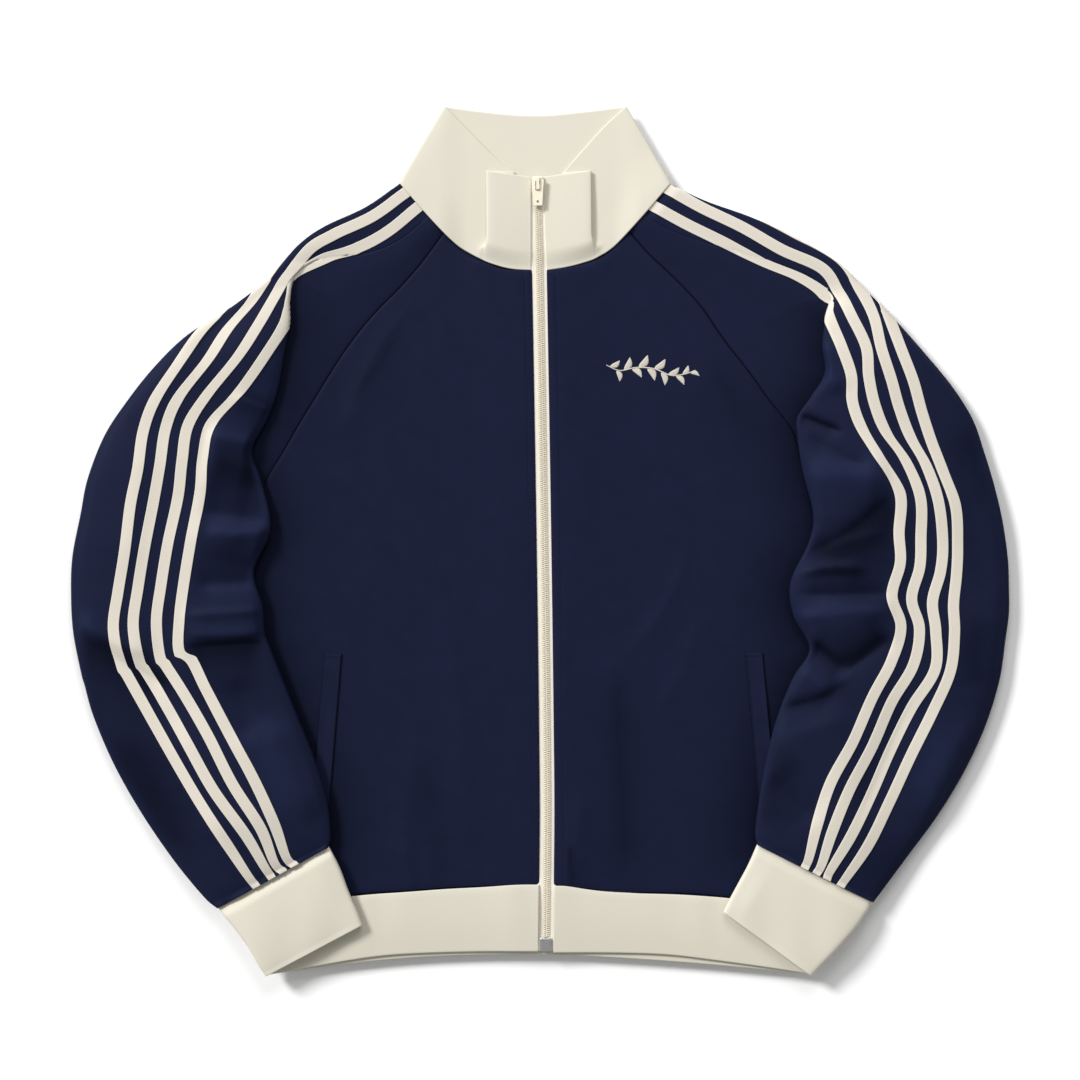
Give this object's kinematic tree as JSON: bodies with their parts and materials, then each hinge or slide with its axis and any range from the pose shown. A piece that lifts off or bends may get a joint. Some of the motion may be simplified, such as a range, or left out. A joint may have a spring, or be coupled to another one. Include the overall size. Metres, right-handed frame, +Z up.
{
  "type": "track jacket",
  "caption": "Long-sleeved full-zip track jacket laid flat, with a stand collar, raglan sleeves with long tapes, welt pockets and ribbed cuffs and hem.",
  "frame": {"origin": "middle of the jacket's outline, on the surface it lies on", "axes": "+X towards the wearer's left, +Y from the hem to the collar, +Z up from the surface it lies on, out of its front"},
  "size_m": [0.7992, 0.7397, 0.0125],
  "materials": {
    "navy_tricot": "smooth navy polyester tricot knit, slight sheen",
    "cream_rib": "cream fine rib knit, double layer, matt",
    "cream_tape": "cream woven tape with a fine twill, matt",
    "cream_plastic": "cream moulded nylon coil, painted slider and pull",
    "silver_metal": "bright metal box at the foot of the zip"
  },
  "bodies": {
    "jacket": {"back": "navy_tricot", "front_right": "navy_tricot", "front_left": "navy_tricot", "pocket_welt_right": "navy_tricot", "pocket_welt_left": "navy_tricot", "sleeve_right": "navy_tricot", "sleeve_left": "navy_tricot", "sleeve_tape_right_1": "cream_tape", "sleeve_tape_right_2": "cream_tape", "sleeve_tape_right_3": "cream_tape", "sleeve_tape_right_4": "cream_tape", "sleeve_tape_left_1": "cream_tape", "sleeve_tape_left_2": "cream_tape", "sleeve_tape_left_3": "cream_tape", "sleeve_tape_left_4": "cream_tape", "cuff_right": "cream_rib", "cuff_left": "cream_rib", "hem": "cream_rib", "collar": "cream_rib", "zip_tape_right": "cream_tape", "zip_tape_left": "cream_tape", "zip_coil": "cream_plastic", "zip_slider": "cream_plastic", "zip_box": "silver_metal"},
    "pull": {"zip_pull": "cream_plastic"}
  },
  "joints": [
    {"name": "pull_swing", "type": "hinge", "parent": "jacket", "child": "pull", "pos_m": [-0.002, 0.3055, 0.009], "axis": [-1, 0, 0], "range_deg": [0, 160]}
  ]
}
